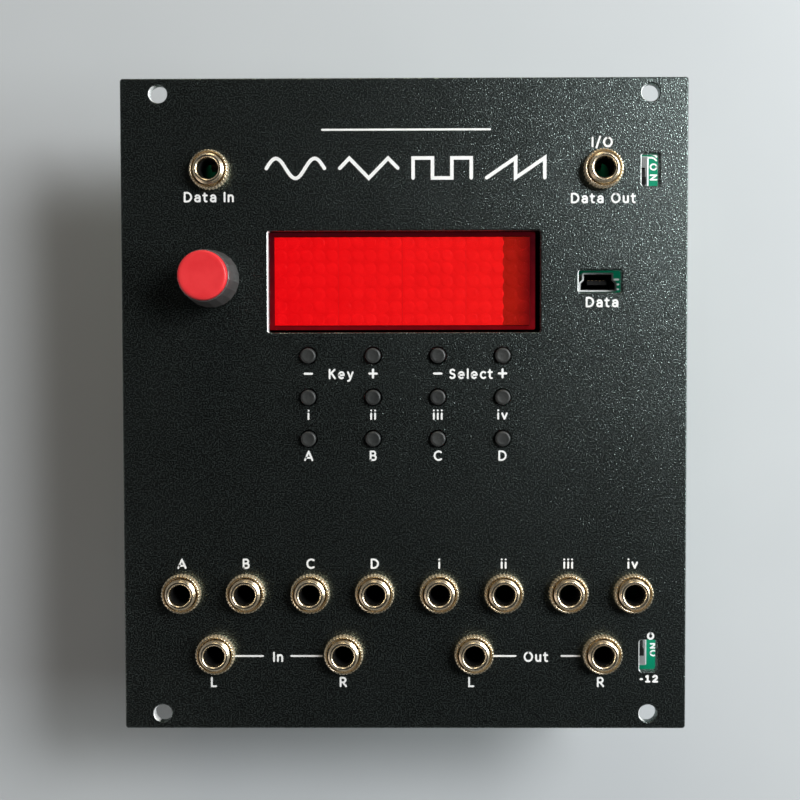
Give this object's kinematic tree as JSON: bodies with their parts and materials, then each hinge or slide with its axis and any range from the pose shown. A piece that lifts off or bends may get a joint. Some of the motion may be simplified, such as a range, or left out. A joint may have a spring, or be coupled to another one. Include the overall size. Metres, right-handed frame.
{
  "type": "eurorack module",
  "caption": "Rack synthesiser module: black panel with sockets, push buttons, red-capped knob and red display, over stacked circuit boards.",
  "frame": {"origin": "middle of the footprint, on the plane that the tops of the four rear capacitors rest on", "axes": "+Z out of the front panel, +X to the panel's right, +Y to the panel's top"},
  "size_m": [0.1114, 0.1284, 0.0469],
  "materials": {
    "panel_coat": "black textured powder coat on aluminium",
    "filter_red": "tinted clear acrylic",
    "tile_grey": "matt face with diffusing dots",
    "board_green": "solder mask on glass laminate",
    "moulding_black": "moulded nylon",
    "button_grey": "moulded, satin",
    "knob_black": "moulded, satin",
    "cap_red": "satin",
    "nickel": "nickel plate on brass",
    "tin": "tinned steel",
    "spring_bronze": "phosphor bronze",
    "can_aluminium": "drawn",
    "chip_black": "epoxy moulding",
    "inductor_grey": "pressed ferrite",
    "chip_tan": "ceramic"
  },
  "bodies": {
    "module": {"amplifier_chips": "chip_black", "button_bases": "moulding_black", "button_covers": "tin", "capacitor_bases": "moulding_black", "capacitor_cans": "can_aluminium", "converter_chips": "chip_black", "crystal": "tin", "display_tile_1": "tile_grey", "display_tile_2": "tile_grey", "display_tile_3": "tile_grey", "display_tile_4": "tile_grey", "encoder_base": "moulding_black", "encoder_bushing": "nickel", "encoder_can": "tin", "filter_window": "filter_red", "front_board": "board_green", "front_panel": "panel_coat", "front_screws": "tin", "header_plugs": "moulding_black", "header_sockets": "moulding_black", "inductors": "inductor_grey", "jack_bodies": "moulding_black", "jack_bushings": "nickel", "jack_lugs": "tin", "jack_nuts": "nickel", "jack_springs": "spring_bronze", "main_board": "board_green", "memory_chips": "chip_black", "optocoupler": "chip_black", "power_pins": "spring_bronze", "power_shroud": "moulding_black", "processor": "chip_black", "rear_screws": "tin", "regulators": "chip_black", "small_chips": "chip_tan", "standoffs": "nickel", "switch_bases": "moulding_black", "switch_shells": "tin", "usb_block": "moulding_black", "usb_contacts": "spring_bronze", "usb_shield": "tin"},
    "encoder_rotor": {"encoder_rotor": "moulding_black"},
    "knob": {"knob_body": "knob_black", "knob_cap": "cap_red", "encoder_shaft": "nickel"},
    "button_1": {"button_1": "button_grey"},
    "button_2": {"button_2": "button_grey"},
    "button_3": {"button_3": "button_grey"},
    "button_4": {"button_4": "button_grey"},
    "button_5": {"button_5": "button_grey"},
    "button_6": {"button_6": "button_grey"},
    "button_7": {"button_7": "button_grey"},
    "button_8": {"button_8": "button_grey"},
    "button_9": {"button_9": "button_grey"},
    "button_10": {"button_10": "button_grey"},
    "button_11": {"button_11": "button_grey"},
    "button_12": {"button_12": "button_grey"},
    "upper_lever": {"upper_lever": "moulding_black"},
    "lower_lever": {"lower_lever": "moulding_black"}
  },
  "joints": [
    {"name": "knob_turn", "type": "hinge", "parent": "module", "child": "encoder_rotor", "pos_m": [-0.03792, 0.025, 0.0364], "axis": [0, 0, 1], "continuous": true},
    {"name": "knob_press", "type": "slide", "parent": "encoder_rotor", "child": "knob", "axis": [0, 0, -1], "range_m": [0, 0.0005], "stiffness_N_per_m": 1000, "springref_m": -0.001},
    {"name": "button_1_press", "type": "slide", "parent": "module", "child": "button_1", "axis": [0, 0, -1], "range_m": [0, 0.00025], "stiffness_N_per_m": 1000, "springref_m": -0.001},
    {"name": "button_2_press", "type": "slide", "parent": "module", "child": "button_2", "axis": [0, 0, -1], "range_m": [0, 0.00025], "stiffness_N_per_m": 1000, "springref_m": -0.001},
    {"name": "button_3_press", "type": "slide", "parent": "module", "child": "button_3", "axis": [0, 0, -1], "range_m": [0, 0.00025], "stiffness_N_per_m": 1000, "springref_m": -0.001},
    {"name": "button_4_press", "type": "slide", "parent": "module", "child": "button_4", "axis": [0, 0, -1], "range_m": [0, 0.00025], "stiffness_N_per_m": 1000, "springref_m": -0.001},
    {"name": "button_5_press", "type": "slide", "parent": "module", "child": "button_5", "axis": [0, 0, -1], "range_m": [0, 0.00025], "stiffness_N_per_m": 1000, "springref_m": -0.001},
    {"name": "button_6_press", "type": "slide", "parent": "module", "child": "button_6", "axis": [0, 0, -1], "range_m": [0, 0.00025], "stiffness_N_per_m": 1000, "springref_m": -0.001},
    {"name": "button_7_press", "type": "slide", "parent": "module", "child": "button_7", "axis": [0, 0, -1], "range_m": [0, 0.00025], "stiffness_N_per_m": 1000, "springref_m": -0.001},
    {"name": "button_8_press", "type": "slide", "parent": "module", "child": "button_8", "axis": [0, 0, -1], "range_m": [0, 0.00025], "stiffness_N_per_m": 1000, "springref_m": -0.001},
    {"name": "button_9_press", "type": "slide", "parent": "module", "child": "button_9", "axis": [0, 0, -1], "range_m": [0, 0.00025], "stiffness_N_per_m": 1000, "springref_m": -0.001},
    {"name": "button_10_press", "type": "slide", "parent": "module", "child": "button_10", "axis": [0, 0, -1], "range_m": [0, 0.00025], "stiffness_N_per_m": 1000, "springref_m": -0.001},
    {"name": "button_11_press", "type": "slide", "parent": "module", "child": "button_11", "axis": [0, 0, -1], "range_m": [0, 0.00025], "stiffness_N_per_m": 1000, "springref_m": -0.001},
    {"name": "button_12_press", "type": "slide", "parent": "module", "child": "button_12", "axis": [0, 0, -1], "range_m": [0, 0.00025], "stiffness_N_per_m": 1000, "springref_m": -0.001},
    {"name": "upper_switch", "type": "slide", "parent": "module", "child": "upper_lever", "axis": [0, 1, 0], "range_m": [0, 0.002]},
    {"name": "lower_switch", "type": "slide", "parent": "module", "child": "lower_lever", "axis": [0, 1, 0], "range_m": [0, 0.002]}
  ]
}
